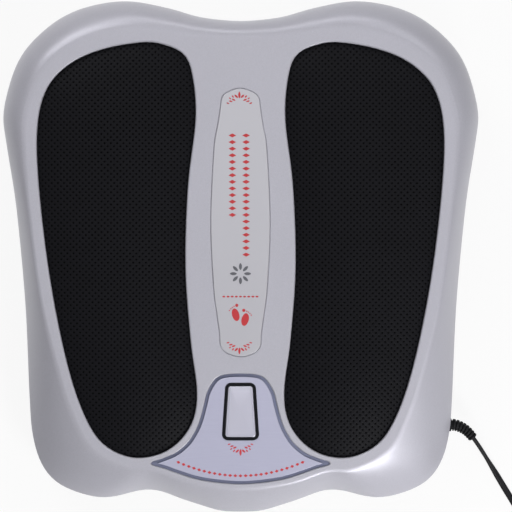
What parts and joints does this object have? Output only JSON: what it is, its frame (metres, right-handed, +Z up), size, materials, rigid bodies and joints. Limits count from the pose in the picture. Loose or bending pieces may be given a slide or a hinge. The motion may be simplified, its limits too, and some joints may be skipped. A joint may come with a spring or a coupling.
{
  "type": "foot massager",
  "caption": "Wedge-shaped shiatsu foot massager with two mesh-covered foot pads over geared rotating knuckle heads, a push button panel and a mains cord.",
  "frame": {"origin": "on the floor under the middle of the housing's footprint", "axes": "+X to the right foot, +Y to the toe end, +Z up; the deck slopes up by 5.5 degrees towards +Y"},
  "size_m": [0.5063, 0.4819, 0.0973],
  "materials": {
    "silver_paint": "metallic silver-lilac paint, satin",
    "brushed_panel": "brushed metallic film",
    "gloss_button": "high gloss silver-lilac",
    "label_silver": "satin silver plate",
    "black_mesh": "open polyester mesh",
    "black_plastic": "moulded black",
    "black_rubber": "soft black",
    "grey_plastic": "moulded grey, fine texture",
    "white_acetal": "natural acetal",
    "knuckle_plastic": "moulded red-brown",
    "steel": "bright steel",
    "brass": "nickel-free brass",
    "circuit_board": "green lacquer",
    "lamp_red": "red lamp glass"
  },
  "bodies": {
    "housing": {"upper_shell": "silver_paint", "control_fascia": "brushed_panel", "label_plate": "label_silver", "button_bezel": "black_plastic", "push_switch": "black_plastic", "plug_body": "black_plastic", "left_pad_frame": "black_plastic", "right_pad_frame": "black_plastic", "base_tray": "grey_plastic", "gearbox_case": "grey_plastic", "left_gear_deck": "grey_plastic", "right_gear_deck": "grey_plastic", "left_mesh_cover": "black_mesh", "right_mesh_cover": "black_mesh", "motor_can": "steel", "motor_strap": "steel", "left_toe_axle": "steel", "left_arch_axle": "steel", "left_heel_axle": "steel", "right_toe_axle": "steel", "right_arch_axle": "steel", "right_heel_axle": "steel", "left_reducer_axle": "steel", "right_reducer_axle": "steel", "front_left_screw": "steel", "front_right_screw": "steel", "rear_left_screw": "steel", "rear_right_screw": "steel", "control_board": "circuit_board", "left_infrared_lamp": "lamp_red", "right_infrared_lamp": "lamp_red", "front_left_foot": "black_rubber", "front_right_foot": "black_rubber", "rear_left_foot": "black_rubber", "rear_right_foot": "black_rubber", "strain_relief": "black_rubber", "cord_lead": "black_rubber", "cord_coil": "black_rubber", "cord_tail": "black_rubber", "plug_pin_left": "brass", "plug_pin_right": "brass"},
    "left_toe_wheel": {"left_toe_gear": "white_acetal", "left_toe_head": "knuckle_plastic"},
    "left_arch_wheel": {"left_arch_gear": "white_acetal", "left_arch_head": "knuckle_plastic"},
    "left_heel_wheel": {"left_heel_gear": "white_acetal", "left_heel_head": "knuckle_plastic"},
    "right_toe_wheel": {"right_toe_gear": "white_acetal", "right_toe_head": "knuckle_plastic"},
    "right_arch_wheel": {"right_arch_gear": "white_acetal", "right_arch_head": "knuckle_plastic"},
    "right_heel_wheel": {"right_heel_gear": "white_acetal", "right_heel_head": "knuckle_plastic"},
    "left_reducer": {"left_reducer_gear": "white_acetal"},
    "right_reducer": {"right_reducer_gear": "white_acetal"},
    "motor_rotor": {"motor_shaft": "steel"},
    "push_button": {"button_cap": "gloss_button"}
  },
  "joints": [
    {"name": "left_arch_spin", "type": "hinge", "parent": "housing", "child": "left_arch_wheel", "pos_m": [-0.0955, 0.00434, 0.0548], "axis": [0, -0.0958, 0.9954], "continuous": true},
    {"name": "left_toe_spin", "type": "hinge", "parent": "housing", "child": "left_toe_wheel", "pos_m": [-0.09401, 0.09839, 0.06386], "axis": [0, -0.0958, 0.9954], "continuous": true},
    {"name": "left_heel_spin", "type": "hinge", "parent": "housing", "child": "left_heel_wheel", "pos_m": [-0.08101, -0.08861, 0.04585], "axis": [0, -0.0958, 0.9954], "continuous": true},
    {"name": "right_toe_spin", "type": "hinge", "parent": "housing", "child": "right_toe_wheel", "pos_m": [0.09401, 0.09839, 0.06386], "axis": [0, -0.0958, 0.9954], "continuous": true},
    {"name": "right_arch_spin", "type": "hinge", "parent": "housing", "child": "right_arch_wheel", "pos_m": [0.0955, 0.00434, 0.0548], "axis": [0, -0.0958, 0.9954], "continuous": true},
    {"name": "right_heel_spin", "type": "hinge", "parent": "housing", "child": "right_heel_wheel", "pos_m": [0.08101, -0.08861, 0.04585], "axis": [0, -0.0958, 0.9954], "continuous": true},
    {"name": "left_reducer_spin", "type": "hinge", "parent": "housing", "child": "left_reducer", "pos_m": [-0.028, 0.00539, 0.04385], "axis": [0, -0.0958, 0.9954], "continuous": true},
    {"name": "right_reducer_spin", "type": "hinge", "parent": "housing", "child": "right_reducer", "pos_m": [0.028, 0.00539, 0.04385], "axis": [0, -0.0958, 0.9954], "continuous": true},
    {"name": "motor_spin", "type": "hinge", "parent": "housing", "child": "motor_rotor", "pos_m": [0, 0.00539, 0.04385], "axis": [0, 0.9954, 0.0958], "continuous": true},
    {"name": "button_press", "type": "slide", "parent": "housing", "child": "push_button", "axis": [0, 0.0958, -0.9954], "range_m": [0, 0.0025], "stiffness_N_per_m": 400, "springref_m": -0.002}
  ],
  "couplings": [
    {"joint": "left_toe_spin", "follows": "left_arch_spin", "ratio": -1},
    {"joint": "left_heel_spin", "follows": "left_arch_spin", "ratio": -1},
    {"joint": "right_toe_spin", "follows": "left_arch_spin", "ratio": 1},
    {"joint": "right_arch_spin", "follows": "left_arch_spin", "ratio": -1},
    {"joint": "right_heel_spin", "follows": "left_arch_spin", "ratio": 1},
    {"joint": "left_reducer_spin", "follows": "left_arch_spin", "ratio": -2.3333},
    {"joint": "right_reducer_spin", "follows": "left_arch_spin", "ratio": 2.3333},
    {"joint": "motor_spin", "follows": "left_arch_spin", "ratio": 65.333}
  ]
}
